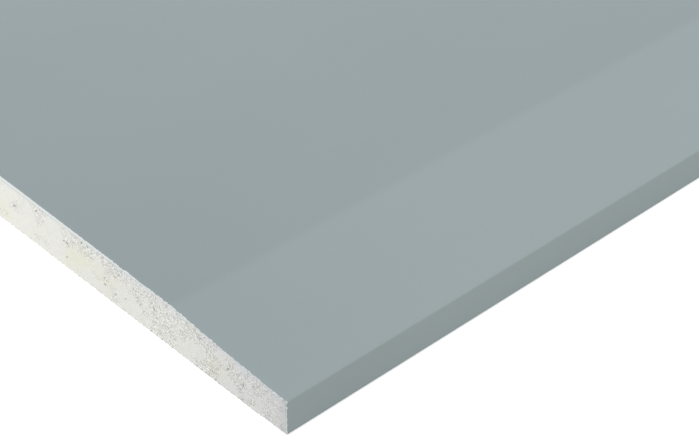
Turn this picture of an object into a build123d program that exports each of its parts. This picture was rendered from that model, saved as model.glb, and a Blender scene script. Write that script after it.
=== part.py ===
"""Drywall sheet: a cast gypsum core between two papers, with tapered long edges.

Millimetres. +X runs along the sheet, +Y across it and +Z up, out of the face.
The origin is the middle of the underside, so the sheet lies on the plane Z = 0.
"""

import os

from build123d import *

# Whole sheet
sheet_length = 2400.0
sheet_width = 1200.0
sheet_thickness = 12.5

# Papers. The face paper is folded round each long edge and ends in a flap on the back,
# and the back paper is glued over the flaps and stops short of the edge.
face_paper_thickness = 0.35
back_paper_thickness = 0.3
flap_width = 28.0
back_paper_setback = 9.0

# Tapered long edges. The taper is slightly dished, the crease at its start is soft, and
# the edge leans out towards its foot. The core's corners are rounded under the paper.
taper_width = 40.0
taper_depth = 2.5
taper_dish = 0.27
crease_radius = 30.0
edge_lean = 0.6
core_arris_radius = 0.15
core_foot_radius = 0.2

# Places in the section, for the edge on the +Y side
half_width = sheet_width / 2
flap_underside = back_paper_thickness
foot = (half_width, flap_underside)
arris = (half_width - edge_lean, sheet_thickness - taper_depth)
crease = (half_width - taper_width, sheet_thickness)
taper_middle = (
    (arris[0] + crease[0]) / 2,
    (arris[1] + crease[1]) / 2 - taper_dish,
)
flap_end = half_width - flap_width
same_place = 1e-4


def corners_at(section, place):
    """The section's corner at this place, and its mirror image at the other long edge."""
    return section.vertices().filter_by(
        lambda corner: abs(abs(corner.X) - place[0]) < same_place
        and abs(corner.Y - place[1]) < same_place
    )


# Outside of the wrapped board, which the face paper follows
with BuildSketch(Plane.YZ) as wrap_section:
    with BuildLine():
        Polyline((0, flap_underside), foot, arris)
        ThreePointArc(arris, taper_middle, crease)
        Line(crease, (0, sheet_thickness))
        mirror(about=Plane.YZ)
    make_face()
    fillet(corners_at(wrap_section, foot), core_foot_radius + face_paper_thickness)
    fillet(corners_at(wrap_section, arris), core_arris_radius + face_paper_thickness)
    fillet(corners_at(wrap_section, crease), crease_radius)

# Gypsum core: one paper thickness inside the wrap, and down to the back paper between the flaps
with BuildPart() as gypsum_core:
    with BuildSketch(Plane.YZ) as core_section:
        offset(wrap_section.sketch_local, amount=-face_paper_thickness, kind=Kind.INTERSECTION)
        with Locations((0, flap_underside)):
            Rectangle(2 * flap_end, face_paper_thickness, align=(Align.CENTER, Align.MIN))
    extrude(amount=sheet_length / 2, both=True)

# Face paper: what the wrap holds round the core, over the face, the edges and both flaps
with BuildPart() as face_paper:
    with BuildSketch(Plane.YZ):
        add(wrap_section.sketch_local)
        add(core_section.sketch_local, mode=Mode.SUBTRACT)
    extrude(amount=sheet_length / 2, both=True)

# Back paper: a flat strip under the core and the flaps
with BuildPart() as back_paper:
    with BuildSketch(Plane.YZ):
        Rectangle(
            sheet_width - 2 * back_paper_setback,
            back_paper_thickness,
            align=(Align.CENTER, Align.MIN),
        )
    extrude(amount=sheet_length / 2, both=True)

gypsum_core.part.label = "gypsum_core"
face_paper.part.label = "face_paper"
back_paper.part.label = "back_paper"

os.makedirs("parts", exist_ok=True)
export_step(gypsum_core.part, "parts/gypsum_core.step")
export_step(face_paper.part, "parts/face_paper.step")
export_step(back_paper.part, "parts/back_paper.step")
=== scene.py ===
"""Looks of the drywall sheet: the two papers, the cast core and its porous cut ends.

Metres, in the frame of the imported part: +X along the sheet, +Y across it, +Z up. The camera
stands over the corner at -X -Y, where a cut end meets a paper-covered long edge.
"""
import math
from collections import namedtuple

import bmesh
import bpy
import numpy as np
from mathutils import Matrix, Vector, noise
from mathutils.geometry import delaunay_2d_cdt


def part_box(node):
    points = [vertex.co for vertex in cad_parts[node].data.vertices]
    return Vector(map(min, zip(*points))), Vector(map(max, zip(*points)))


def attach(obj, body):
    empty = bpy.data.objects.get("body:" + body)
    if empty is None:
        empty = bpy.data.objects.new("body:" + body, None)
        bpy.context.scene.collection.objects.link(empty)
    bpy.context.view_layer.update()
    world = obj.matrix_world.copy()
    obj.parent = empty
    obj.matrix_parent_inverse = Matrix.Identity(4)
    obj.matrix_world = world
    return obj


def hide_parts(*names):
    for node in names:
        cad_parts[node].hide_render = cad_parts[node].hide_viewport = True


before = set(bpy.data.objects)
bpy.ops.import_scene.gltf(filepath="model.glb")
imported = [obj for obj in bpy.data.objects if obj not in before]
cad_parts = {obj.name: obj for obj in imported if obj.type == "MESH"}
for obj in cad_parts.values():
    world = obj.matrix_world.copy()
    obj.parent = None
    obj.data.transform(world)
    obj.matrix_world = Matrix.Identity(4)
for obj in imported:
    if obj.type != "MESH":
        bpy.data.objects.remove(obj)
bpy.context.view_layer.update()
MM = 0.001

# Sheet, read from the frame
_, core_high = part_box("gypsum_core")
face_low, face_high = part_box("face_paper")
back_low, back_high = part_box("back_paper")
HALF_LENGTH = face_high.x
THICKNESS = face_high.z
FACE_PAPER = face_high.z - core_high.z
BACK_PAPER = back_high.z - back_low.z
FLAP_UNDERSIDE = face_low.z
BACK_HALF_WIDTH = back_high.y

# Long edge, as the part's source has it. HALF_WIDTH reaches to the foot before it is rounded.
HALF_WIDTH = 600 * MM
TAPER_WIDTH = 40 * MM
TAPER_DEPTH = 2.5 * MM
TAPER_DISH = 0.27 * MM
CREASE_RADIUS = 30 * MM
EDGE_LEAN = 0.6 * MM
ARRIS_RADIUS = 0.15 * MM + FACE_PAPER
FOOT_RADIUS = 0.2 * MM + FACE_PAPER
FLAP_WIDTH = 28 * MM
CREASE = HALF_WIDTH - TAPER_WIDTH
ARRIS = HALF_WIDTH - EDGE_LEAN
FLAP_END = HALF_WIDTH - FLAP_WIDTH

# Steps that the curves of the long edge are drawn in
CREASE_STEPS = 8
DISH_STEPS = 17
ARRIS_STEPS = 10
FOOT_STEPS = 8

# The cut end beside the photographed corner gets the finest mesh, over this stretch
FINE_STRETCH = 105 * MM
FINE_UNDER_Y = FINE_STRETCH - HALF_WIDTH

# Distances between the points along a cut edge: in the fine stretch, and elsewhere
Pitches = namedtuple("Pitches", "fine plain")
NEAR_PAPER_PITCHES = Pitches(0.2 * MM, 1.2 * MM)
FAR_PAPER_PITCHES = Pitches(1.5 * MM, 1.5 * MM)
NEAR_CORE_PITCHES = Pitches(0.22 * MM, 1.1 * MM)
FAR_CORE_PITCHES = Pitches(1.3 * MM, 1.3 * MM)


# Section outlines. An outline is an array with a row for each point: y, z and its outward normal.

def corner_arc(corner, before, after, radius, steps):
    """The rounding of a corner that the outline reaches along before and leaves along after."""
    before = Vector(before).normalized()
    after = Vector(after).normalized()
    reach = radius * math.tan(before.angle(after) / 2)
    first = math.atan2(before.x, -before.y)
    last = math.atan2(after.x, -after.y)
    if last > first:
        last -= 2 * math.pi
    start = Vector(corner) - before * reach
    centre = start - Vector((math.cos(first), math.sin(first))) * radius
    points = []
    for angle in np.linspace(first, last, steps + 1):
        out = Vector((math.cos(angle), math.sin(angle)))
        points.append((*(centre + out * radius), *out))
    return points


def taper_height(share):
    """Height of the taper at a share of its width from the crease. Its dish is a parabola."""
    return THICKNESS - TAPER_DEPTH * share - 4 * TAPER_DISH * share * (1 - share)


def taper_slope(share):
    """Slope of the taper at a share of its width from the crease."""
    return -(TAPER_DEPTH + 4 * TAPER_DISH * (1 - 2 * share)) / (ARRIS - CREASE)


def half_wrap():
    """Outside of the face paper, from the middle of the face to the end of the flap."""
    crease = (CREASE, THICKNESS)
    arris = (ARRIS, THICKNESS - TAPER_DEPTH)
    foot = (HALF_WIDTH, FLAP_UNDERSIDE)
    edge = (foot[0] - arris[0], foot[1] - arris[1])
    middle = (0, THICKNESS, 0, 1)
    crease_arc = corner_arc(crease, (1, 0), (1, taper_slope(0)), CREASE_RADIUS, CREASE_STEPS)
    arris_arc = corner_arc(arris, (1, taper_slope(1)), edge, ARRIS_RADIUS, ARRIS_STEPS)
    dish = []
    for y in np.linspace(crease_arc[-1][0], arris_arc[0][0], DISH_STEPS + 1)[1:-1]:
        share = (y - CREASE) / (ARRIS - CREASE)
        dish.append((y, taper_height(share), *Vector((-taper_slope(share), 1)).normalized()))
    foot_arc = corner_arc(foot, edge, (-1, 0), FOOT_RADIUS, FOOT_STEPS)
    flap_end = (FLAP_END, FLAP_UNDERSIDE, 0, -1)
    return np.array([middle, *crease_arc, *dish, *arris_arc, *foot_arc, flap_end])


def whole_section(half):
    """A half outline and its mirror image, from the flap's end at -Y round to the one at +Y."""
    mirrored = half[::-1] * (-1, 1, -1, 1)
    return np.vstack([mirrored[:-1], half])


def lengths_along(outline):
    """Distance along the outline to each of its points."""
    steps = np.linalg.norm(np.diff(outline[:, :2], axis=0), axis=1)
    return np.concatenate([[0], np.cumsum(steps)])


def sample(outline, places):
    """The outline's points and normals at these distances along it."""
    along = lengths_along(outline)
    return np.stack([np.interp(places, along, column) for column in outline.T], axis=1)


def spaced(outline, pitches):
    """Distances along the outline: those of its own points, and the pitches' steps between them."""
    along = lengths_along(outline)
    places = [0.0]
    while places[-1] < along[-1]:
        y = np.interp(places[-1], along, outline[:, 0])
        places.append(places[-1] + (pitches.fine if y < FINE_UNDER_Y else pitches.plain))
    places = np.array(places[:-1])
    clear = np.abs(places[:, None] - along[None, :]).min(1) > pitches.fine / 2
    return np.sort(np.concatenate([places[clear], along]))


# Flat maps for baking. A chart has the function that lays its faces flat, from arrays with an item
# for each face corner, the number of strips they are cut into, and its share of the map's height.

MAP_NAME = "OFBake"
MAP_MARGIN = 0.01
STRIP_MARGIN = 0.003
CUT_STRETCH = 3

Chart = namedtuple("Chart", "flatten strips height")


def by_surface(points, places, depths):
    """Along the sheet, and along the outline."""
    return points[:, 0], places


def by_cut_edge(points, places, depths):
    """Along the outline, and over the cut edge of a paper, whose thickness is drawn larger."""
    return places, np.abs(points[:, 0]) + CUT_STRETCH * depths


def by_side(points, places, depths):
    """Along the sheet, and through the thickness of a paper."""
    return points[:, 0], depths


def by_end(points, places, depths):
    """Across the sheet, and up."""
    return points[:, 1], points[:, 2]


PAPER_CHARTS = {
    "outside": Chart(by_surface, strips=1, height=0.71),
    "near cut": Chart(by_cut_edge, strips=8, height=0.16),
    "far cut": Chart(by_cut_edge, strips=4, height=0.06),
    "inside": Chart(by_surface, strips=1, height=0.03),
    "first side": Chart(by_side, strips=1, height=0.02),
    "last side": Chart(by_side, strips=1, height=0.02),
}
CORE_CHARTS = {
    "near end": Chart(by_end, strips=8, height=0.70),
    "far end": Chart(by_end, strips=4, height=0.20),
    "wrap": Chart(by_surface, strips=1, height=0.10),
}


# Mesh building

class Shape:
    """A mesh under construction. A row is a list of (place along the row, vertex) pairs."""

    def __init__(self):
        self.points = []
        self.depths = []
        self.faces = []
        self.places = []
        self.slots = []
        self.charts = []

    def row(self, places, points, depth=0.0):
        """Adds a row of vertices, which lie this deep inside the outline, and returns it."""
        first = len(self.points)
        self.points += [tuple(map(float, point)) for point in points]
        self.depths += [depth] * len(points)
        return [(float(place), first + i) for i, place in enumerate(places)]

    def face(self, corners, chart, slot):
        """Adds a face. Its corners are pairs out of rows."""
        self.faces.append([vertex for _, vertex in corners])
        self.places += [place for place, _ in corners]
        self.charts.append(chart)
        self.slots.append(slot)

    def zip_rows(self, one, other, chart, slot=0):
        """Fills the strip between two rows that may have different numbers of vertices."""
        i = j = 0
        while i < len(one) - 1 or j < len(other) - 1:
            next_one = one[i + 1][0] if i < len(one) - 1 else math.inf
            next_other = other[j + 1][0] if j < len(other) - 1 else math.inf
            if next_one == next_other:
                self.face((one[i], other[j], other[j + 1], one[i + 1]), chart, slot)
                i += 1
                j += 1
            elif next_one < next_other:
                self.face((one[i], other[j], one[i + 1]), chart, slot)
                i += 1
            else:
                self.face((one[i], other[j], other[j + 1]), chart, slot)
                j += 1

    def zip_all(self, rows, chart):
        """Fills the strips between rows that follow one another."""
        for one, other in zip(rows, rows[1:]):
            self.zip_rows(one, other, chart)

    def lay_out(self, mesh, charts):
        """Gives the mesh its flat map: the strips of all the charts, one above another."""
        counts = np.array([len(face) for face in self.faces])
        starts = np.cumsum(counts) - counts
        corners = np.concatenate(self.faces)
        points = np.array(self.points)[corners]
        depths = np.array(self.depths)[corners]
        chart_of = np.repeat(self.charts, counts)
        on_map = np.empty((len(corners), 2))
        low = 0.0
        for name, chart in charts.items():
            mine = chart_of == name
            along, across = chart.flatten(points, np.array(self.places), depths)
            along = (along - along[mine].min()) / np.ptp(along[mine]) * chart.strips
            across = (across - across[mine].min()) / np.ptp(across[mine])
            middles = np.add.reduceat(along, starts) / counts
            strip = np.repeat(np.clip(np.floor(middles), 0, chart.strips - 1), counts)
            strip_height = chart.height / chart.strips
            u = MAP_MARGIN + (1 - 2 * MAP_MARGIN) * (along - strip)
            v = low + strip * strip_height
            v += STRIP_MARGIN + (strip_height - 2 * STRIP_MARGIN) * across
            on_map[mine] = np.stack([u, v], axis=1)[mine]
            low += chart.height
        mesh.uv_layers.new(name=MAP_NAME).uv.foreach_set("vector", on_map.ravel())

    def finish(self, name, materials, charts, sharp_over, marks):
        """Makes the object, with its faces turned outwards and smooth except over sharp angles.

        The marks are values for each vertex that the materials read by name.
        """
        mesh = bpy.data.meshes.new(name)
        mesh.from_pydata(self.points, [], self.faces)
        for material in materials:
            mesh.materials.append(material)
        mesh.polygons.foreach_set("material_index", self.slots)
        self.lay_out(mesh, charts)
        for mark, values in marks.items():
            mesh.attributes.new(mark, "FLOAT", "POINT").data.foreach_set("value", values)
        form = bmesh.new()
        form.from_mesh(mesh)
        bmesh.ops.recalc_face_normals(form, faces=form.faces)
        form.to_mesh(mesh)
        form.free()
        mesh.shade_smooth()
        mesh.set_sharp_from_angle(angle=sharp_over)
        piece = bpy.data.objects.new(name, mesh)
        bpy.context.scene.collection.objects.link(piece)
        return piece


# Each octave of the noise is finer than the last by the step, and weaker by a power of the step
OCTAVE_STEP = 2.0
OCTAVE_FALL = 0.9

# Added to a seed, so that each kind of noise has a pattern of its own
CHIP_PATTERN = 2
WIDE_PATCH_PATTERN = 3
GRAIN_PATTERN = 5
NICKED_PATTERN = 7
SMALL_PATCH_PATTERN = 8
NICK_PATTERN = 9


def rough(along, across, size, seed, octaves=3):
    """Noise from about -1 to 1 with features of this size, at a place given by two lengths."""
    place = Vector((along / size, across / size, seed))
    return noise.fractal(place, OCTAVE_FALL, OCTAVE_STEP, octaves)


# Papers

# Material slots of a paper: its two surfaces, and the plies that a cut lays bare
SURFACE = 0
PLIES = 1

# The cut turns the lip of the paper in by the burr. The shoulder is how far from the lip that
# starts, and past the skirt, measured from the plane of the cut, the paper is quite even.
BURR = 0.05 * MM
SHOULDER = 0.5 * MM
SKIRT = 1.5 * MM

# Waves and nicks of the plies along a cut. A fray is how far they go, in the middle of the sheet
# and beside its long edges, and it changes from one to the other over the spread.
Fray = namedtuple("Fray", "middle edge")
FACE_FRAY = Fray(0.06 * MM, 0.3 * MM)
BACK_FRAY = Fray(0.5 * MM, 0.4 * MM)
FRAY_SPREAD = 90 * MM
MOST_FRAY = 0.6 * MM
WAVE_LENGTH = 0.8 * MM
WAVE_MIDDLE = 0.5
WAVE_SWING = 0.7
NICK_LENGTH = 0.9 * MM
NICK_FLOOR = 0.1
NICK_DEPTH = 3.5
NICKED_STRETCH = 7 * MM
NICKED_MIDDLE = 0.3

FACE_SEED = 31
BACK_SEED = 47
STEPS_ALONG = 24
PAPER_SHARP_OVER = math.radians(40)


def frayed(outline, places, through, fray, seed):
    """How far each point of a paper's cut edge lies inside the plane of the cut.

    The points lie the share through of the way from the outside of the paper to its inside.
    """
    from_edge = HALF_WIDTH - np.abs(sample(outline, places)[:, 0])
    by_edge = np.clip(1 - from_edge / FRAY_SPREAD, 0, 1)
    amounts = fray.middle + (fray.edge - fray.middle) * by_edge
    inside = []
    for place, amount in zip(places, amounts):
        wave = WAVE_MIDDLE + WAVE_SWING * rough(place, through * MM, WAVE_LENGTH, seed)
        nicked = NICKED_MIDDLE + rough(place, 0, NICKED_STRETCH, seed + NICKED_PATTERN, 2)
        nick = rough(place, 0, NICK_LENGTH, seed + NICK_PATTERN, 2) - NICK_FLOOR
        nick = NICK_DEPTH * max(0.0, nicked) * max(0.0, nick)
        inside.append(amount * (wave * abs(wave) + nick))
    return np.clip(inside, 0, MOST_FRAY)


def paper_row(shape, outline, places, x, depth):
    """Adds a row of vertices along the outline at x, this deep inside it."""
    at = sample(outline, places)
    x = np.broadcast_to(x, len(at))
    points = np.stack([x, at[:, 0] - at[:, 2] * depth, at[:, 1] - at[:, 3] * depth], axis=1)
    return shape.row(places, points, depth)


def paper_end(shape, outline, thickness, fray, seed, side, pitches, chart):
    """One cut end of a paper: rows from its outside over the cut to its inside, filled in."""
    cut = spaced(outline, pitches)
    plane = side * HALF_LENGTH
    lip, middle, heel = (
        plane - side * frayed(outline, cut, through, fray, seed + side) for through in (0, 0.5, 1)
    )
    rows = [
        paper_row(shape, outline, cut, plane - side * SKIRT, 0),
        paper_row(shape, outline, cut, lip - side * SHOULDER, 0),
        paper_row(shape, outline, cut, lip, BURR),
        paper_row(shape, outline, cut, middle, thickness / 2),
        paper_row(shape, outline, cut, heel, thickness),
    ]
    for one, other, slot in zip(rows, rows[1:], (SURFACE, SURFACE, PLIES, PLIES)):
        shape.zip_rows(one, other, chart, slot)
    return rows


def paper_side(shape, outer, inner, end, chart):
    """Closes one long side of a paper, between the rows' vertices at this end of them."""
    outside, inside = (
        [(shape.points[row[end][1]][0], row[end][1]) for row in rows] for rows in (outer, inner)
    )
    shape.zip_rows(outside, inside, chart, PLIES)


def build_paper(name, outline, thickness, fray, materials, seed):
    """A sheet of paper that follows the outline, with its two cut ends frayed."""
    shape = Shape()
    own = lengths_along(outline)
    near = paper_end(shape, outline, thickness, fray, seed, -1, NEAR_PAPER_PITCHES, "near cut")
    far = paper_end(shape, outline, thickness, fray, seed, 1, FAR_PAPER_PITCHES, "far cut")
    outer = [near[0]]
    inner = [near[-1]]
    for x in np.linspace(-HALF_LENGTH, HALF_LENGTH, STEPS_ALONG + 1)[1:-1]:
        outer.append(paper_row(shape, outline, own, x, 0))
        inner.append(paper_row(shape, outline, own, x, thickness))
    outer.append(far[0])
    inner.append(far[-1])
    shape.zip_all(outer, "outside")
    shape.zip_all(inner, "inside")
    outer = [*near[-2:0:-1], *outer, *far[1:-1]]
    paper_side(shape, outer, inner, 0, "first side")
    paper_side(shape, outer, inner, -1, "last side")
    return shape.finish(name, materials, PAPER_CHARTS, PAPER_SHARP_OVER, {})


# Core

# How far behind the plane of the cut the gypsum broke, and the size of what broke there: crumbs,
# grains, of which smooth gypsum has only a share, and chips along the rim
LEAST_DEPTH = 0.02 * MM
CRUMBLE_DEPTH = 0.09 * MM
CRUMBLE_SIZE = 2.6 * MM
GRAIN_DEPTH = 0.22 * MM
GRAIN_SIZE = 0.46 * MM
SMOOTH_GRAIN = 0.12
CHIP_DEPTH = 0.3 * MM
CHIP_SIZE = 1.1 * MM

# Where the gypsum is sandy: in patches of two sizes, and more by the long edges and the face.
# Their weighted sum makes it smooth at 0 or less and fully sandy at the ramp or more.
SANDY_EDGE = 95 * MM
SANDY_FADE = 40 * MM
WIDE_PATCH = 8 * MM
SMALL_PATCH = 3.2 * MM
WIDE_PATCH_WEIGHT = 0.6
SMALL_PATCH_WEIGHT = 0.55
EDGE_WEIGHT = 0.28
FACE_WEIGHT = 0.35
SANDY_RAMP = 0.4

# A band beside the long edges: the pores are smaller in it and the gypsum greyer
EDGE_BAND = 60 * MM

# Air voids. They are wider away from the long edges, by a factor within the growth, and mostly
# near the least radius. Their depth is in radii. The gap keeps them off one another and the
# margin off the outline, and in smooth gypsum only some of them are kept.
PORE_GROWTH = (0.35, 1.3)
PORE_RARITY = 5
PORE_DEPTHS = (0.9, 1.9)
PORE_GAP = 0.08 * MM
PORE_MARGIN = 0.05 * MM
SMOOTH_PORE_CHANCE = 0.15
PORE_OVAL = 0.14

# Rings of a pore's mesh, each as a share of its radius and a number of corners
SMALL_PORE = 0.2 * MM
SMALL_PORE_RINGS = ((1.0, 6), (0.55, 4), (0.0, 1))
PORE_RINGS = ((1.0, 8), (0.7, 6), (0.0, 1))

# Places between the pores, in shares of their pitch: how far they are moved about, and how far
# they keep from the outline and from the pores
JITTER = 0.36
OUTLINE_CLEARANCE = 0.5
PORE_CLEARANCE = 0.35

# A stretch of the cut end: the pitch of its mesh, and the number and size of its pores
Texture = namedtuple("Texture", "pitch area_per_pore least_radius most_radius")
FINE_TEXTURE = Texture(0.21 * MM, 2.6 * MM**2, 0.1 * MM, 0.4 * MM)
PLAIN_TEXTURE = Texture(0.95 * MM, 11 * MM**2, 0.22 * MM, 0.6 * MM)
FAR_TEXTURE = Texture(1.05 * MM, 13 * MM**2, 0.22 * MM, 0.6 * MM)

NEAR_END_SEED = 6
FAR_END_SEED = 23
CORE_SHARP_OVER = math.radians(38)

# What tells the top and the edge of the core's outline from its foot: how far its normals point up
LEAST_UPWARD = -0.1

# Settings of the triangulation: only what lies inside the outline, and when two places are one
INSIDE_ONLY = 1
SAME_PLACE = 1e-9


def core_outline(half):
    """Closed outline of the core: inside the face paper, with its sole on the back paper."""
    under_face = half.copy()
    under_face[:, :2] -= half[:, 2:] * FACE_PAPER
    wrap = whole_section(under_face)
    sole = np.array([(FLAP_END, FLAP_UNDERSIDE, 0, -1), (-FLAP_END, FLAP_UNDERSIDE, 0, -1)])
    return np.vstack([wrap, sole, wrap[:1]])


def inside_core(outline, y, z, clear):
    """Whether places lie inside the core's outline with this much to spare."""
    upper = outline[(outline[:, 0] >= 0) & (outline[:, 3] > LEAST_UPWARD)]
    upper = upper[np.argsort(upper[:, 0], kind="stable")]
    reach = np.abs(y) + clear
    roof = np.interp(reach, upper[:, 0], upper[:, 1])
    floor = FLAP_UNDERSIDE + np.where(reach > FLAP_END, FACE_PAPER, 0)
    return (reach < upper[-1, 0]) & (z > floor + clear) & (z < roof - clear)


def coarseness(y, z, seed):
    """0 where the gypsum broke smoothly, up to 1 where it is sandy."""
    wide_patch = WIDE_PATCH_WEIGHT * rough(y, z, WIDE_PATCH, seed + WIDE_PATCH_PATTERN, 2)
    small_patch = SMALL_PATCH_WEIGHT * rough(y, z, SMALL_PATCH, seed + SMALL_PATCH_PATTERN, 1)
    by_edge = min(max(0.0, (SANDY_EDGE - HALF_WIDTH + abs(y)) / SANDY_FADE), 1.0)
    by_face = z / THICKNESS - 0.5
    total = wide_patch + (EDGE_WEIGHT + small_patch) * by_edge + FACE_WEIGHT * by_face
    share = min(max(total / SANDY_RAMP, 0.0), 1.0)
    return share * share * (3 - 2 * share)


def depth_at(y, z, coarse, seed):
    """How far the broken gypsum lies inside the plane of the cut."""
    crumble = 0.5 + 0.5 * rough(y, z, CRUMBLE_SIZE, seed)
    grain = abs(rough(y, z, GRAIN_SIZE, seed + GRAIN_PATTERN, 2))
    grainy = SMOOTH_GRAIN + (1 - SMOOTH_GRAIN) * coarse
    return LEAST_DEPTH + CRUMBLE_DEPTH * crumble + GRAIN_DEPTH * grain * grainy


def scatter_pores(random, outline, low_y, high_y, texture, seed):
    """Air voids that the cut opens: an array of y, z, radius and depth, none touching another."""
    wanted = int((high_y - low_y) * THICKNESS / texture.area_per_pore)
    y = random.uniform(low_y, high_y, wanted)
    growth = np.clip((HALF_WIDTH - np.abs(y)) / EDGE_BAND, *PORE_GROWTH)
    growth *= texture.most_radius - texture.least_radius
    radius = texture.least_radius + growth * random.random(wanted) ** PORE_RARITY
    z = random.uniform(0, THICKNESS, wanted)
    depth = radius * random.uniform(*PORE_DEPTHS, wanted)
    luck = random.random(wanted)
    fits = inside_core(outline, y, z, radius + PORE_MARGIN)
    pores = []
    for pore, drawn in zip(np.stack([y, z, radius, depth], axis=1)[fits], luck[fits]):
        gaps = [math.dist(pore[:2], other[:2]) - pore[2] - other[2] for other in pores]
        if min(gaps, default=math.inf) <= PORE_GAP:
            continue
        coarse = coarseness(*pore[:2], seed)
        if drawn < SMOOTH_PORE_CHANCE + (1 - SMOOTH_PORE_CHANCE) * coarse:
            pores.append(pore)
    return np.array(pores)


def jittered(random, outline, low_y, high_y, pitch, pores):
    """Places spread over a stretch of the cut end, about a pitch apart and clear of the pores."""
    y, z = np.meshgrid(np.arange(low_y, high_y, pitch), np.arange(0, THICKNESS, pitch))
    y = y.ravel() + random.uniform(-JITTER, JITTER, y.size) * pitch
    z = z.ravel() + random.uniform(-JITTER, JITTER, z.size) * pitch
    keep = inside_core(outline, y, z, OUTLINE_CLEARANCE * pitch)
    for pore_y, pore_z, radius, _ in pores:
        keep &= (y - pore_y) ** 2 + (z - pore_z) ** 2 > (radius + PORE_CLEARANCE * pitch) ** 2
    return y[keep], z[keep]


class CutEnd:
    """Broken gypsum over one end of the core, as lists with an item for each point of it."""

    def __init__(self, outline, side, seed):
        self.outline = outline
        self.side = side
        self.seed = seed
        self.random = np.random.default_rng(seed)
        self.flat = []
        self.depths = []
        self.pore = []
        self.coarse = []
        self.made = []

    def add(self, y, z, hollow=0.0, pore=0.0):
        """Adds a point of the broken surface, deeper by hollow where it lies in a pore."""
        coarse = coarseness(y, z, self.seed)
        self.flat.append(Vector((y, z)))
        self.depths.append(depth_at(y, z, coarse, self.seed) + hollow)
        self.pore.append(pore)
        self.coarse.append(coarse)

    def add_pore(self, middle_y, middle_z, radius, depth):
        """Adds an oval pore, as rings of points that go down as the inside of a ball does."""
        turn, stretch = self.random.uniform(0, math.pi, 2)
        for ring, corners in SMALL_PORE_RINGS if radius < SMALL_PORE else PORE_RINGS:
            inward = 1 - ring * ring
            for k in range(corners):
                angle = turn + 2 * math.pi * (k + 0.5 * ring) / corners
                reach = radius * ring * (1 + PORE_OVAL * math.sin(2 * angle + stretch))
                y = middle_y + reach * math.cos(angle)
                z = middle_z + reach * math.sin(angle)
                self.add(y, z, depth * math.sqrt(inward), inward)

    def add_stretch(self, low_y, high_y, texture):
        """Adds the pores between two places across the sheet, and the points around them."""
        pores = scatter_pores(self.random, self.outline, low_y, high_y, texture, self.seed)
        between = jittered(self.random, self.outline, low_y, high_y, texture.pitch, pores)
        for y, z in zip(*between):
            self.add(y, z)
        for pore in pores:
            self.add_pore(*pore)

    def add_rim(self, places):
        """Adds the end's boundary, chipped in places. Returns where it begins and its length."""
        first = len(self.flat)
        loop = sample(self.outline, places[:-1])
        for y, z, _, _ in loop:
            self.add(y, z)
            chip = max(0.0, rough(y, z, CHIP_SIZE, self.seed + CHIP_PATTERN))
            self.depths[-1] = LEAST_DEPTH + CHIP_DEPTH * chip
        return first, len(loop)

    def add_to(self, shape, chart, pitches):
        """Joins all the points up into a surface in the shape. Returns its boundary as a row."""
        places = spaced(self.outline, pitches)
        first, count = self.add_rim(places)
        edges = [(first + i, first + (i + 1) % count) for i in range(count)]
        made, _, faces, origins, _, _ = delaunay_2d_cdt(
            self.flat, edges, [], INSIDE_ONLY, SAME_PLACE
        )
        self.made = [origin for origin, *_ in origins]
        points = [
            (self.side * (HALF_LENGTH - self.depths[origin]), *point)
            for point, origin in zip(made, self.made)
        ]
        corners = shape.row(self.made, points)
        for face in faces:
            shape.face([corners[i] for i in face], chart, 0)
        vertex_of = {origin: vertex for origin, (_, vertex) in zip(self.made, corners)}
        row = [(float(place), vertex_of[first + i]) for i, place in enumerate(places[:-1])]
        return row + [(float(places[-1]), vertex_of[first])]


def build_core(half, materials):
    """The core, whole, with both cut ends broken open."""
    outline = core_outline(half)
    edge = HALF_WIDTH - FACE_PAPER
    near = CutEnd(outline, -1, NEAR_END_SEED)
    near.add_stretch(-edge, FINE_UNDER_Y, FINE_TEXTURE)
    near.add_stretch(FINE_UNDER_Y, edge, PLAIN_TEXTURE)
    far = CutEnd(outline, 1, FAR_END_SEED)
    far.add_stretch(-edge, edge, FAR_TEXTURE)
    shape = Shape()
    near_row = near.add_to(shape, "near end", NEAR_CORE_PITCHES)
    far_row = far.add_to(shape, "far end", FAR_CORE_PITCHES)
    shape.zip_rows(near_row, far_row, "wrap")
    # The pore mark is 1 at the bottom of a pore and 0 at its rim; the gypsum's painted shade
    # follows it
    marks = {
        "pore": [end.pore[i] for end in (near, far) for i in end.made],
        "coarse": [end.coarse[i] for end in (near, far) for i in end.made],
    }
    return shape.finish("gypsum_core_body", materials, CORE_CHARTS, CORE_SHARP_OVER, marks)


# Finishes

# Colour sockets of the mix node, which share their names with sockets for numbers
MIX_A = 6
MIX_B = 7
MIX_RESULT = 2

# Direction that a pattern is moved in, to get another one like it
SHIFT_WAY = (1.0, 1.7, 0.6)

# Share of a pit's radius that its rim fades over
PIT_RIM = 0.3


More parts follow.
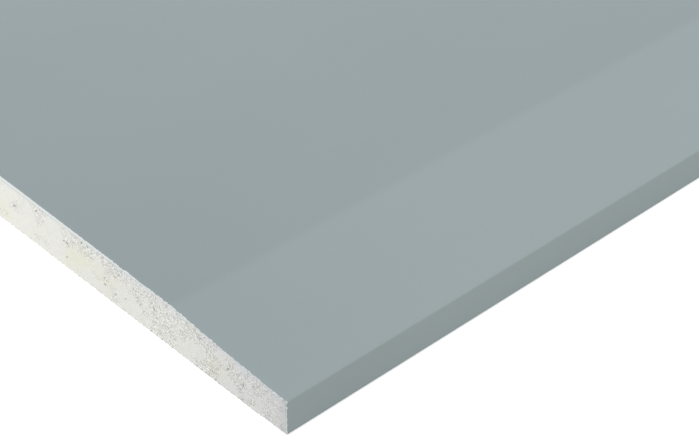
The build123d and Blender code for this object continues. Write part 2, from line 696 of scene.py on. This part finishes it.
class Finish:
    """A material and short calls for the nodes that it is made of. Sizes are in metres."""

    def __init__(self, name, roughness, specular):
        self.material = bpy.data.materials.new(name)
        self.material.use_nodes = True
        self.tree = self.material.node_tree
        self.shader = self.tree.nodes["Principled BSDF"]
        self.shader.inputs["Roughness"].default_value = roughness
        self.shader.inputs["Specular IOR Level"].default_value = specular
        self.place = self.tree.nodes.new("ShaderNodeTexCoord").outputs["Object"]

    def node(self, kind, **settings):
        """Adds a node of this kind with these settings."""
        made = self.tree.nodes.new("ShaderNode" + kind)
        for key, value in settings.items():
            setattr(made, key, value)
        return made

    def join(self, source, target):
        """Feeds a socket from another."""
        self.tree.links.new(source, target)

    def scaled(self, size, stretch, shift):
        """The place in the sheet, in units of size, drawn out by stretch and moved by shift."""
        mapping = self.node("Mapping")
        mapping.inputs["Scale"].default_value = [1 / (size * axis) for axis in stretch]
        mapping.inputs["Location"].default_value = [shift * axis for axis in SHIFT_WAY]
        self.join(self.place, mapping.inputs["Vector"])
        return mapping.outputs["Vector"]

    def noise(self, size, detail=2.0, roughness=0.5, stretch=(1, 1, 1), shift=0.0):
        """Noise between 0 and 1 with features of this size."""
        made = self.node("TexNoise")
        made.inputs["Scale"].default_value = 1.0
        made.inputs["Detail"].default_value = detail
        made.inputs["Roughness"].default_value = roughness
        self.join(self.scaled(size, stretch, shift), made.inputs["Vector"])
        return made.outputs["Fac"]

    def pits(self, size, share, radius, shift, scale_by=None):
        """1 in round pits and 0 between them. A share of the cells of this size has a pit."""
        made = self.node("TexVoronoi")
        made.inputs["Scale"].default_value = 1.0
        self.join(self.scaled(size, (1, 1, 1), shift), made.inputs["Vector"])
        luck = self.node("SeparateColor")
        self.join(made.outputs["Color"], luck.inputs[0])
        reach = self.remap(luck.outputs["Red"], 1 - share, 1.0, 0.0, radius / size)
        if scale_by is not None:
            reach = self.calc("MULTIPLY", reach, scale_by)
        inside = self.calc("SUBTRACT", reach, made.outputs["Distance"])
        return self.remap(inside, 0.0, PIT_RIM * radius / size)

    def attribute(self, name):
        """What the mesh holds under this name."""
        return self.node("Attribute", attribute_name=name).outputs["Fac"]

    def away(self, axis):
        """Distance from the origin along an axis: from the sheet's middle, or up from its back."""
        split = self.node("SeparateXYZ")
        self.join(self.place, split.inputs[0])
        return self.calc("ABSOLUTE", split.outputs[axis])

    def remap(self, value, low, high, to_low=0.0, to_high=1.0, smooth=False):
        """The value moved from the range low to high into the range to_low to to_high."""
        made = self.node("MapRange", interpolation_type="SMOOTHSTEP" if smooth else "LINEAR")
        made.inputs["From Min"].default_value = low
        made.inputs["From Max"].default_value = high
        made.inputs["To Min"].default_value = to_low
        made.inputs["To Max"].default_value = to_high
        self.join(value, made.inputs["Value"])
        return made.outputs["Result"]

    def swing(self, noise_value, low=0.0, high=1.0, margin=0.3):
        """Noise drawn out to go from low to high. What it has in the outer margins is cut off."""
        return self.remap(noise_value, margin, 1 - margin, low, high)

    def by_long_edge(self, start, end, before=0.0, after=1.0):
        """A value that goes from before to after between two distances in from the long edges."""
        return self.remap(self.away("Y"), HALF_WIDTH - start, HALF_WIDTH - end, before, after)

    def calc(self, operation, a, b=None):
        """The result of an operation on numbers or sockets."""
        made = self.node("Math", operation=operation)
        for slot, value in ((0, a), (1, b)):
            if isinstance(value, (int, float)):
                made.inputs[slot].default_value = value
            elif value is not None:
                self.join(value, made.inputs[slot])
        return made.outputs[0]

    def mix(self, share, a, b, blend="MIX"):
        """Colour a with a share of colour b laid over it."""
        made = self.node("Mix", data_type="RGBA", blend_type=blend)
        if isinstance(share, (int, float)):
            made.inputs["Factor"].default_value = share
        else:
            self.join(share, made.inputs["Factor"])
        for slot, value in ((MIX_A, a), (MIX_B, b)):
            if isinstance(value, tuple):
                made.inputs[slot].default_value = (*value, 1)
            else:
                self.join(value, made.inputs[slot])
        return made.outputs[MIX_RESULT]

    def tinted(self, tone, *layers):
        """The tone times the tint of each layer, as far as the layer's share goes."""
        for share, tint in layers:
            tone = self.mix(share, tone, tint, "MULTIPLY")
        return tone

    def colour(self, socket):
        """Feeds the shader's colour."""
        self.join(socket, self.shader.inputs["Base Color"])

    def roughness(self, socket):
        """Feeds the shader's roughness."""
        self.join(socket, self.shader.inputs["Roughness"])

    def bump(self, height, distance):
        """Gives the shader fine relief, this high where the height is 1."""
        made = self.node("Bump")
        made.inputs["Distance"].default_value = distance
        self.join(height, made.inputs["Height"])
        self.join(made.outputs["Normal"], self.shader.inputs["Normal"])


def shade(colour, factor):
    """The colour made darker or lighter."""
    return tuple(part * factor for part in colour)


# Colours, and tints that multiply them
FACE_COLOUR = (0.325, 0.3795, 0.395)
# Painted shade on the flat face beside the crease, and painted light on the taper past it
CREASE_SHADE_TINT = (0.953, 0.953, 0.957)
TAPER_LIGHT_TINT = (1.01, 1.01, 1.01)
SOILED_ARRIS_TINT = (0.995, 1.0, 0.973)
# Painted shade: the face darker towards the cut ends
END_SHADE_TINT = (0.957, 0.957, 0.96)
SCUFFED_COLOUR = (0.755, 0.785, 0.77)
CUT_FIBRE_COLOUR = (0.70, 0.725, 0.712)
SOILED_FIBRE_COLOUR = (0.73, 0.73, 0.70)
UPRIGHT_TINT = (0.94, 0.965, 0.95)
BACK_COLOUR = (0.43, 0.40, 0.34)
GYPSUM_COLOUR = (0.88, 0.876, 0.827)
CREAM_COLOUR = (0.86, 0.86, 0.705)
# Grey that the gypsum turns towards the long edge
EDGE_GREY_COLOUR = (0.635, 0.635, 0.638)
RIM_TINT = (0.96, 1.0, 1.04)
PRESSED_TINT = (0.94, 0.95, 0.98)
HEM_TINT = (0.925, 0.955, 0.935)
LUMP_TINT = (0.92, 0.92, 0.9)
# Painted shade inside the gypsum's pits and pores
PORE_SHADE_COLOUR = (0.22, 0.22, 0.21)

# Face: how far the crease's change of tone goes to each side of it, how far from it the band of
# painted shade on the flat face starts and is full, and the widths of the soiled arris and of the
# painted shade at the cut ends
CREASE_FADE_BEFORE = 1.6 * MM
CREASE_FADE_AFTER = 1.3 * MM
CREASE_SHADE_START = 130 * MM
CREASE_SHADE_FULL = 15 * MM
SOILED_ARRIS = 0.3 * MM
END_SHADE_LENGTH = 90 * MM

# Face: the fringe along the cut ends that is scuffed pale. It narrows to nothing over the spread,
# and it is more ragged where the gypsum under it is sandy.
MOST_SCUFF = 0.7 * MM
SCUFF_SPREAD = 100 * MM
SCUFF_FADE = 0.05 * MM
EVEN_SCUFF = 0.03 * MM
RAGGED_SCUFF = 0.19 * MM
SCUFF_WAVE = 1.1 * MM

# Cut edges of the papers: heights where the soiling starts to fade and where it ends, and
# distances in from the long edge where they start to turn upright and are
SOILED_FULL = 0.6 * MM
SOILED_END = 2 * MM
UPRIGHT_START = 1.5 * MM
UPRIGHT_FULL = 0.5 * MM

# Gypsum: distances in from the long edge
SANDY_FULL = 50 * MM
CALM_START = 18 * MM
CALM_FULL = 4 * MM
EDGE_GREY_START = 105 * MM
EDGE_GREYEST_START = 4 * MM
EDGE_GREYEST_FULL = 1 * MM
PRESSED_FULL = 25 * MM
HEM_START = 2.4 * MM
HEM_FULL = 0.9 * MM

# Gypsum: distances down from the face
MOST_RIM = 1.54 * MM
RIM_FADE = 0.2 * MM
PRESSED_DEPTH = 3.2 * MM

# Gypsum: the least sandiness, away from the long edge and beside it, and the share of all its
# sandiness that is left where it is calm
LEAST_SANDY = (0.03, 0.28)
CALM = 0.72

# Gypsum: how far its colour goes to the grey one before the band beside the long edge, across the
# band and, on top of that, in the last stretch
EDGE_GREY_BEFORE = 0.22
EDGE_GREY_ACROSS = 0.78
EDGE_GREY_AT_LAST = 0.4

# How far the colour goes to that of flecks, and to painted shade in pits and in modelled pores,
# where they are
FLECK_SHARE = 0.45
FINE_PIT_SHADE_SHARE = 0.45
WIDE_PIT_SHADE_SHARE = 0.6
PORE_SHADE_SHARE = 0.85


def shaded_and_soiled_face(look, tone):
    """Painted shade by the crease and the cut ends, painted light on the taper, and a soiled arris.
    """
    crossed = look.by_long_edge(TAPER_WIDTH + CREASE_FADE_BEFORE, TAPER_WIDTH - CREASE_FADE_AFTER)
    nearing = look.by_long_edge(TAPER_WIDTH + CREASE_SHADE_START, TAPER_WIDTH + CREASE_SHADE_FULL)
    return look.tinted(
        tone,
        # Painted shade on the flat face beside the crease, then painted light on the taper
        (look.calc("SUBTRACT", nearing, crossed), CREASE_SHADE_TINT),
        (crossed, TAPER_LIGHT_TINT),
        (look.by_long_edge(EDGE_LEAN + SOILED_ARRIS, EDGE_LEAN), SOILED_ARRIS_TINT),
        # Painted shade, darker towards the cut ends
        (look.remap(look.away("X"), HALF_LENGTH - END_SHADE_LENGTH, HALF_LENGTH), END_SHADE_TINT),
    )


def scuffed(look):
    """1 in the fringe along the cut ends where the face is scuffed pale, and 0 past it."""
    width = look.by_long_edge(SCUFF_SPREAD, 0.0, MOST_SCUFF, 0.0)
    wave = look.noise(SCUFF_WAVE, detail=4.0, roughness=0.7)
    ragged = look.by_long_edge(SANDY_EDGE, EDGE_BAND, EVEN_SCUFF, RAGGED_SCUFF)
    ragged = look.calc("MULTIPLY", look.swing(wave, -1.0, 1.0, margin=0.35), ragged)
    from_cut = look.calc("SUBTRACT", HALF_LENGTH, look.away("X"))
    inside = look.calc("SUBTRACT", look.calc("ADD", width, ragged), from_cut)
    return look.remap(inside, -SCUFF_FADE, SCUFF_FADE)


def face_finish():
    """Calendered grey-blue paper: nearly even, with a fine felt of fibres along the sheet."""
    look = Finish("face_paper_finish", roughness=0.8, specular=0.25)
    fibre = look.noise(0.5 * MM, detail=6.0, roughness=0.65, stretch=(3.0, 1, 1))
    clouds = look.noise(38 * MM, detail=3.0, stretch=(1.6, 1, 1), shift=3.1)
    broad = look.noise(420 * MM, shift=8.4)
    tone = look.mix(look.swing(fibre), shade(FACE_COLOUR, 0.985), shade(FACE_COLOUR, 1.015))
    tone = look.mix(look.swing(clouds, high=0.35), tone, shade(FACE_COLOUR, 0.965))
    tone = look.mix(look.swing(broad, high=0.35, margin=0.35), tone, shade(FACE_COLOUR, 1.03))
    look.colour(look.mix(scuffed(look), shaded_and_soiled_face(look, tone), SCUFFED_COLOUR))
    look.roughness(look.swing(clouds, low=0.76, high=0.86))
    look.bump(fibre, distance=0.012 * MM)
    return look.material


def fibre_finish(name):
    """The cut edge of a paper: the pale, ragged plies inside it, soiled along the underside."""
    look = Finish(name, roughness=0.9, specular=0.2)
    plies = look.noise(0.12 * MM, detail=4.0, roughness=0.6, stretch=(1, 4, 1))
    clean = look.remap(look.away("Z"), SOILED_FULL, SOILED_END)
    colour = look.mix(clean, SOILED_FIBRE_COLOUR, CUT_FIBRE_COLOUR)
    upright = look.by_long_edge(UPRIGHT_START, UPRIGHT_FULL)
    streaks = look.swing(plies, low=0.9, high=1.06)
    look.colour(look.tinted(colour, (upright, UPRIGHT_TINT), (1.0, streaks)))
    look.bump(plies, distance=0.03 * MM)
    return look.material


def back_finish():
    """Unsized recycled paper: warm grey, speckled, with a coarser felt than the face."""
    look = Finish("back_paper_finish", roughness=0.88, specular=0.2)
    felt = look.noise(0.9 * MM, detail=6.0, roughness=0.7, stretch=(2.5, 1, 1), shift=2.0)
    clouds = look.noise(55 * MM, detail=3.0, stretch=(1.4, 1, 1), shift=5.0)
    flecks = look.pits(4 * MM, share=0.4, radius=0.8 * MM, shift=4.0)
    tone = look.mix(look.swing(felt), shade(BACK_COLOUR, 0.93), shade(BACK_COLOUR, 1.06))
    tone = look.mix(look.swing(clouds, high=0.5), tone, shade(BACK_COLOUR, 0.92))
    fleck_share = look.calc("MULTIPLY", flecks, FLECK_SHARE)
    look.colour(look.mix(fleck_share, tone, shade(BACK_COLOUR, 0.55)))
    look.roughness(look.swing(felt, low=0.84, high=0.93))
    look.bump(felt, distance=0.03 * MM)
    return look.material


def sandiness(look):
    """How sandy the gypsum is: least of all far from the long edge, and calmer right beside it."""
    least = look.by_long_edge(SANDY_EDGE, SANDY_FULL, *LEAST_SANDY)
    sandy = look.calc("MAXIMUM", look.attribute("coarse"), least)
    return look.calc("MULTIPLY", sandy, look.by_long_edge(CALM_START, CALM_FULL, 1.0, CALM))


def greyed_by_edge(look, tone):
    """The gypsum turned greyer towards the long edge."""
    before = look.by_long_edge(EDGE_GREY_START, EDGE_BAND, after=EDGE_GREY_BEFORE)
    across = look.by_long_edge(EDGE_BAND, 0.0, after=EDGE_GREY_ACROSS)
    at_last = look.by_long_edge(EDGE_GREYEST_START, EDGE_GREYEST_FULL, after=EDGE_GREY_AT_LAST)
    share = look.calc("ADD", look.calc("MAXIMUM", across, before), at_last)
    return look.mix(share, tone, EDGE_GREY_COLOUR)


def beside_papers(look, tone):
    """The gypsum with its pale rim under the face, pressed by the taper and greyer at the edge."""
    roof = look.by_long_edge(TAPER_WIDTH, 0.0, THICKNESS, THICKNESS - TAPER_DEPTH)
    down = look.calc("SUBTRACT", roof, look.away("Z"))
    rim_width = look.swing(look.noise(5 * MM, shift=12.0), high=MOST_RIM, margin=0.38)
    past_rim = look.calc("SUBTRACT", down, rim_width)
    pressed_down = look.remap(down, FACE_PAPER, PRESSED_DEPTH, 1.0, 0.0)
    pressed = look.calc("MULTIPLY", look.by_long_edge(EDGE_BAND, PRESSED_FULL), pressed_down)
    return look.tinted(
        tone,
        (look.remap(past_rim, FACE_PAPER - RIM_FADE, FACE_PAPER, 1.0, 0.0), RIM_TINT),
        (pressed, PRESSED_TINT),
        (look.by_long_edge(HEM_START, HEM_FULL), HEM_TINT),
    )


def gypsum_finish():
    """Broken cast gypsum: off-white, creamy in patches, greyer towards the long edge."""
    look = Finish("gypsum_finish", roughness=0.93, specular=0.15)
    sandy = sandiness(look)
    grain = look.noise(0.3 * MM, shift=6.0)
    lumps = look.noise(1.6 * MM, detail=3.0, roughness=0.6, shift=9.0)
    fine_pits = look.pits(0.6 * MM, share=0.75, radius=0.24 * MM, shift=2.0, scale_by=sandy)
    wide_pits = look.pits(1.5 * MM, share=0.45, radius=0.38 * MM, shift=7.0, scale_by=sandy)
    cream = look.noise(7 * MM, shift=58.1)
    cream = look.remap(cream, low=0.52, high=0.72, to_high=0.7, smooth=True)
    tone = look.mix(cream, GYPSUM_COLOUR, CREAM_COLOUR)
    tone = beside_papers(look, greyed_by_edge(look, tone))
    tone = look.tinted(
        tone,
        # Partly the grain's own tone, partly painted light and shade: lighter where its relief
        # stands up
        (sandy, look.swing(grain, low=0.62, high=1.23, margin=0.34)),
        (look.remap(lumps, low=0.5, high=0.75, to_high=0.6), LUMP_TINT),
    )
    # Painted shade: the pits and the modelled pores are darkened, most at the bottom of a pore
    for share in (
        look.calc("MULTIPLY", fine_pits, FINE_PIT_SHADE_SHARE),
        look.calc("MULTIPLY", wide_pits, WIDE_PIT_SHADE_SHARE),
        look.remap(look.attribute("pore"), low=0.0, high=0.5, to_high=PORE_SHADE_SHARE),
    ):
        tone = look.mix(share, tone, PORE_SHADE_COLOUR)
    look.colour(tone)
    pitted = look.calc("MAXIMUM", fine_pits, wide_pits)
    look.bump(look.calc("SUBTRACT", grain, pitted), distance=0.12 * MM)
    return look.material


# The three pieces, each in place of its plain solid

half = half_wrap()
face_paper = build_paper(
    "face_paper_sheet",
    whole_section(half),
    FACE_PAPER,
    FACE_FRAY,
    [face_finish(), fibre_finish("face_paper_cut")],
    FACE_SEED,
)
back_outline = np.array([(-BACK_HALF_WIDTH, 0, 0, -1), (BACK_HALF_WIDTH, 0, 0, -1)])
back_paper = build_paper(
    "back_paper_sheet",
    back_outline,
    BACK_PAPER,
    BACK_FRAY,
    [back_finish(), fibre_finish("back_paper_cut")],
    BACK_SEED,
)
core = build_core(half, [gypsum_finish()])
for piece, node, slot in (
    (face_paper, "face_paper", "face_paper"),
    (back_paper, "back_paper", "back_paper"),
    (core, "gypsum_core", "gypsum"),
):
    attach(piece, "root")
    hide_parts(node)


# Floor and light

FLOOR_HALF = 60.0
FLOOR_DROP = 0.05 * MM
FLOOR_COLOUR = (0.84, 0.84, 0.84)

# What the floor gives off where it is seen, and the light from all round, with white as 1
FLOOR_GLOW = 0.6
AMBIENT = 0.7

# Where the key light comes from. Each part of it is also the light that a surface facing along
# that axis gets, with white as 1, because a sun of strength pi lights a white surface to white.
KEY_FROM = Vector((-0.2, -0.033, 0.3))
KEY_POWER = math.pi * KEY_FROM.length
KEY_SPREAD = math.radians(20)


def seen_ray(tree):
    """1 where a ray comes from the camera, a gloss or glass, and 0 where it carries light."""
    path = tree.nodes.new("ShaderNodeLightPath")
    total = path.outputs["Is Camera Ray"]
    for kind in ("Is Glossy Ray", "Is Transmission Ray"):
        most = tree.nodes.new("ShaderNodeMath")
        most.operation = "MAXIMUM"
        tree.links.new(total, most.inputs[0])
        tree.links.new(path.outputs[kind], most.inputs[1])
        total = most.outputs[0]
    return total


def brighter_where_seen(tree, socket, base, extra):
    """Feeds a strength that is the base for light and the base and the extra for rays that see."""
    strength = tree.nodes.new("ShaderNodeMath")
    strength.operation = "MULTIPLY_ADD"
    tree.links.new(seen_ray(tree), strength.inputs[0])
    strength.inputs[1].default_value = extra
    strength.inputs[2].default_value = base
    tree.links.new(strength.outputs[0], socket)


def floor_finish():
    """A pale matt floor that glows up to white where it is seen."""
    material = bpy.data.materials.new("floor")
    material.use_nodes = True
    tree = material.node_tree
    tree.nodes.remove(tree.nodes["Principled BSDF"])
    matt = tree.nodes.new("ShaderNodeBsdfDiffuse")
    matt.inputs["Color"].default_value = (*FLOOR_COLOUR, 1)
    glow = tree.nodes.new("ShaderNodeEmission")
    brighter_where_seen(tree, glow.inputs["Strength"], 0.0, FLOOR_GLOW)
    both = tree.nodes.new("ShaderNodeAddShader")
    tree.links.new(matt.outputs[0], both.inputs[0])
    tree.links.new(glow.outputs[0], both.inputs[1])
    tree.links.new(both.outputs[0], tree.nodes["Material Output"].inputs["Surface"])
    return material


def build_floor():
    """The floor just under the sheet, which takes its shadow."""
    corners = [
        (x * FLOOR_HALF, y * FLOOR_HALF, -FLOOR_DROP)
        for x, y in ((-1, -1), (1, -1), (1, 1), (-1, 1))
    ]
    mesh = bpy.data.meshes.new("floor")
    mesh.from_pydata(corners, [], [(0, 1, 2, 3)])
    mesh.materials.append(floor_finish())
    floor = bpy.data.objects.new("floor", mesh)
    bpy.context.scene.collection.objects.link(floor)


def build_world():
    """Even light from all round, with white behind the sheet."""
    world = bpy.data.worlds.new("studio")
    world.use_nodes = True
    around = world.node_tree.nodes["Background"]
    around.inputs["Color"].default_value = (1, 1, 1, 1)
    brighter_where_seen(world.node_tree, around.inputs["Strength"], AMBIENT, 1 - AMBIENT)
    bpy.context.scene.world = world


def build_key():
    """The soft key light."""
    lamp = bpy.data.lights.new("key", "SUN")
    lamp.energy = KEY_POWER
    lamp.angle = KEY_SPREAD
    key = bpy.data.objects.new("key", lamp)
    key.rotation_euler = KEY_FROM.to_track_quat("Z", "Y").to_euler()
    bpy.context.scene.collection.objects.link(key)


build_floor()
build_world()
build_key()


# Camera, placed from the sheet's corner at -X -Y. It looks down over that corner.

CORNER = Vector((-HALF_LENGTH, -HALF_WIDTH, 0))
EYE = CORNER + Vector((-214.24, -221.87, 293.67)) * MM
HEADING = math.radians(46.06)
DOWNWARD = math.radians(37.008)
ROLL = math.radians(3.195)
LENS = 98.28
SENSOR = 36.0
NEAREST_SEEN = 0.01
FARTHEST_SEEN = 200

lens = bpy.data.cameras.new("camera")
lens.lens = LENS
lens.sensor_width = SENSOR
lens.sensor_fit = "HORIZONTAL"
lens.clip_start = NEAREST_SEEN
lens.clip_end = FARTHEST_SEEN
turns = (
    Matrix.Rotation(-HEADING, 4, "Z"),
    Matrix.Rotation(math.pi / 2 - DOWNWARD, 4, "X"),
    Matrix.Rotation(ROLL, 4, "Z"),
)
camera = bpy.data.objects.new("camera", lens)
camera.matrix_world = Matrix.Translation(EYE) @ turns[0] @ turns[1] @ turns[2]
bpy.context.scene.collection.objects.link(camera)
bpy.context.scene.camera = camera
bpy.context.scene.view_settings.view_transform = "Standard"
